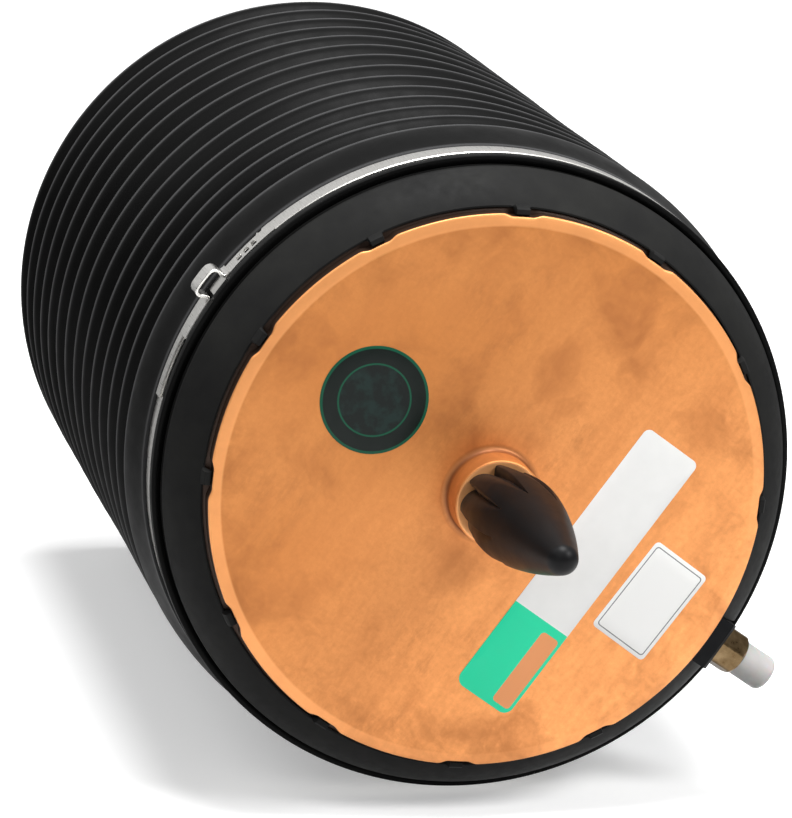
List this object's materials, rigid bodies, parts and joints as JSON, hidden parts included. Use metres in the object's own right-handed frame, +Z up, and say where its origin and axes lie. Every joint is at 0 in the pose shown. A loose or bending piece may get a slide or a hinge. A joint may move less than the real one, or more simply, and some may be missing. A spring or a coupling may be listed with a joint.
{
  "type": "air spring bellows",
  "caption": "Rolling-sleeve air spring with a corrugated dust boot, fluted locating nose, radial push-in air fitting and threaded lower mount.",
  "frame": {"origin": "centre of the lower mounting thread's mouth, on the face that the base flange stands on", "axes": "+Z up along the spring's axis towards the locating nose; +X along the air fitting, away from the axis; +Y completes a right-handed frame"},
  "size_m": [0.2036, 0.1912, 0.3478],
  "materials": {
    "cap_plate": "copper-toned conversion coat, satin with patina",
    "nose_rubber": "satin moulded rubber",
    "ring_plastic": "satin moulded",
    "block_plastic": "satin moulded",
    "fitting_brass": "machined, dull",
    "collet_brass": "stamped",
    "insert_brass": "machined",
    "seal_rubber": "smooth",
    "natural_plastic": "natural translucent moulded",
    "clamp_steel": "brushed stainless strip",
    "crimp_steel": "plated, swaged",
    "screw_steel": "plated",
    "boot_rubber": "satin moulded rubber",
    "sleeve_rubber": "matte, cord reinforced",
    "piston_plastic": "moulded, glass filled",
    "base_plastic": "moulded, glass filled",
    "bumper_foam": "cellular, matte",
    "hoop_plastic": "moulded"
  },
  "bodies": {
    "lower": {"piston": "piston_plastic", "lower_crimp_ring": "crimp_steel", "jounce_bumper": "bumper_foam", "bumper_washer": "screw_steel", "bumper_screw": "screw_steel", "piston_base": "base_plastic", "base_screws": "screw_steel", "base_seal": "seal_rubber", "mount_insert": "insert_brass", "lower_boot_ring": "hoop_plastic"},
    "upper": {"top_cap": "cap_plate", "locating_nose": "nose_rubber", "housing_ring": "ring_plastic", "fitting_block": "block_plastic", "air_fitting": "fitting_brass", "port_seal": "seal_rubber", "tube_seal": "seal_rubber", "tube_collet": "collet_brass", "boot_clamp": "clamp_steel", "upper_crimp_ring": "crimp_steel", "strike_plate": "crimp_steel", "air_sleeve": "sleeve_rubber", "dust_boot": "boot_rubber"},
    "tube_plug": {"port_cap": "natural_plastic"}
  },
  "joints": [
    {"name": "stroke", "type": "slide", "parent": "lower", "child": "upper", "axis": [0, 0, 1], "range_m": [-0.084, 0.035], "stiffness_N_per_m": 3000, "springref_m": 0.0054, "deforming": ["dust_boot", "air_sleeve"]},
    {"name": "cap_pull", "type": "slide", "parent": "upper", "child": "tube_plug", "axis": [1, 0, 0], "range_m": [0, 0.02]}
  ]
}
